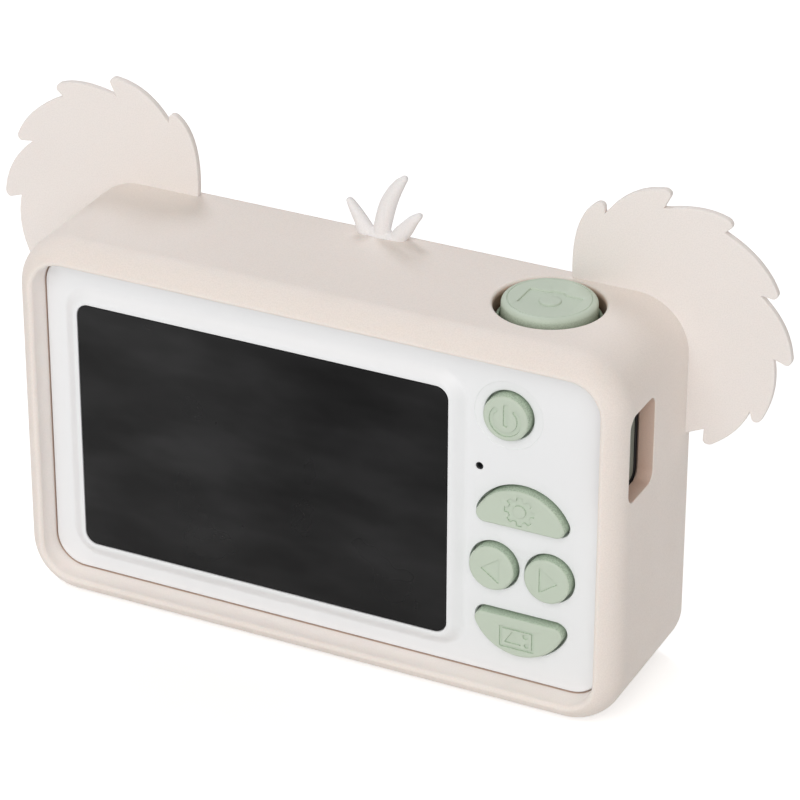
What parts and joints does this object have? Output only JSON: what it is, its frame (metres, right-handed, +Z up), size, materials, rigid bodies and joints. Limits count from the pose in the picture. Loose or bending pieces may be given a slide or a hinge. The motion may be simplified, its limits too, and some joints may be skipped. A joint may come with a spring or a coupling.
{
  "type": "kids digital camera",
  "caption": "Small toy digital camera in a soft silicone sleeve with two flat fur-edged ears and a tuft, with a rear screen, push keys and a top shutter button.",
  "frame": {"origin": "middle of the flat base that the camera stands on", "axes": "+Z up, +Y towards the rear screen and away from the lens, +X across the camera, to the left of someone who looks at the screen"},
  "size_m": [0.132, 0.0291, 0.078],
  "materials": {
    "sleeve_silicone": "matte, fine grain",
    "shell_plastic": "satin",
    "screen_black": "gloss",
    "dark_plastic": "matte",
    "lcd_glass": "gloss",
    "foam": "matte",
    "flex_film": "satin",
    "circuit_board": "satin",
    "chip_black": "matte",
    "connector_plastic": "matte",
    "plated_metal": "satin",
    "key_plastic": "matte, fine grain",
    "cover_rubber": "matte",
    "ring_plastic": "satin",
    "wire_rubber": "satin",
    "clear_glass": "polished",
    "frosted_plastic": "frosted",
    "led_yellow": "gloss",
    "battery_foil": "satin",
    "screw_steel": "satin"
  },
  "bodies": {
    "camera": {"silicone_sleeve": "sleeve_silicone", "front_shell": "shell_plastic", "rear_shell": "shell_plastic", "screen_window": "screen_black", "display_frame": "dark_plastic", "lcd_panel": "lcd_glass", "display_foam": "foam", "display_flex": "flex_film", "main_board": "circuit_board", "processor_chip": "chip_black", "memory_chip": "chip_black", "flex_connectors": "connector_plastic", "wire_connectors": "connector_plastic", "key_switches": "plated_metal", "shutter_collar": "key_plastic", "shutter_board": "circuit_board", "shutter_switch": "plated_metal", "shutter_wires": "wire_rubber", "microphone": "plated_metal", "speaker": "dark_plastic", "speaker_wires": "wire_rubber", "usb_socket": "plated_metal", "card_socket": "plated_metal", "lens_ring": "ring_plastic", "lens_window": "clear_glass", "lens_barrel": "dark_plastic", "front_lens": "clear_glass", "rear_lens": "clear_glass", "sensor_board": "circuit_board", "image_sensor": "lcd_glass", "camera_flex": "flex_film", "flash_window": "frosted_plastic", "flash_board": "circuit_board", "flash_led": "led_yellow", "battery": "battery_foil", "battery_tape": "foam", "battery_wires": "wire_rubber", "case_screws": "screw_steel", "board_screws": "screw_steel", "lens_screws": "screw_steel"},
    "power_body": {"power_key": "key_plastic"},
    "settings_body": {"settings_key": "key_plastic"},
    "left_body": {"left_key": "key_plastic"},
    "right_body": {"right_key": "key_plastic"},
    "gallery_body": {"gallery_key": "key_plastic"},
    "shutter_body": {"shutter_button": "key_plastic"},
    "cover_body": {"port_cover": "cover_rubber"}
  },
  "joints": [
    {"name": "power_press", "type": "slide", "parent": "camera", "child": "power_body", "axis": [0, -1, 0], "range_m": [0, 0.0008], "stiffness_N_per_m": 500},
    {"name": "settings_press", "type": "slide", "parent": "camera", "child": "settings_body", "axis": [0, -1, 0], "range_m": [0, 0.0008], "stiffness_N_per_m": 500},
    {"name": "left_press", "type": "slide", "parent": "camera", "child": "left_body", "axis": [0, -1, 0], "range_m": [0, 0.0008], "stiffness_N_per_m": 500},
    {"name": "right_press", "type": "slide", "parent": "camera", "child": "right_body", "axis": [0, -1, 0], "range_m": [0, 0.0008], "stiffness_N_per_m": 500},
    {"name": "gallery_press", "type": "slide", "parent": "camera", "child": "gallery_body", "axis": [0, -1, 0], "range_m": [0, 0.0008], "stiffness_N_per_m": 500},
    {"name": "shutter_press", "type": "slide", "parent": "camera", "child": "shutter_body", "axis": [0, 0, -1], "range_m": [0, 0.0012], "stiffness_N_per_m": 600},
    {"name": "cover_pull", "type": "slide", "parent": "camera", "child": "cover_body", "axis": [-1, 0, 0], "range_m": [0, 0.006]}
  ]
}
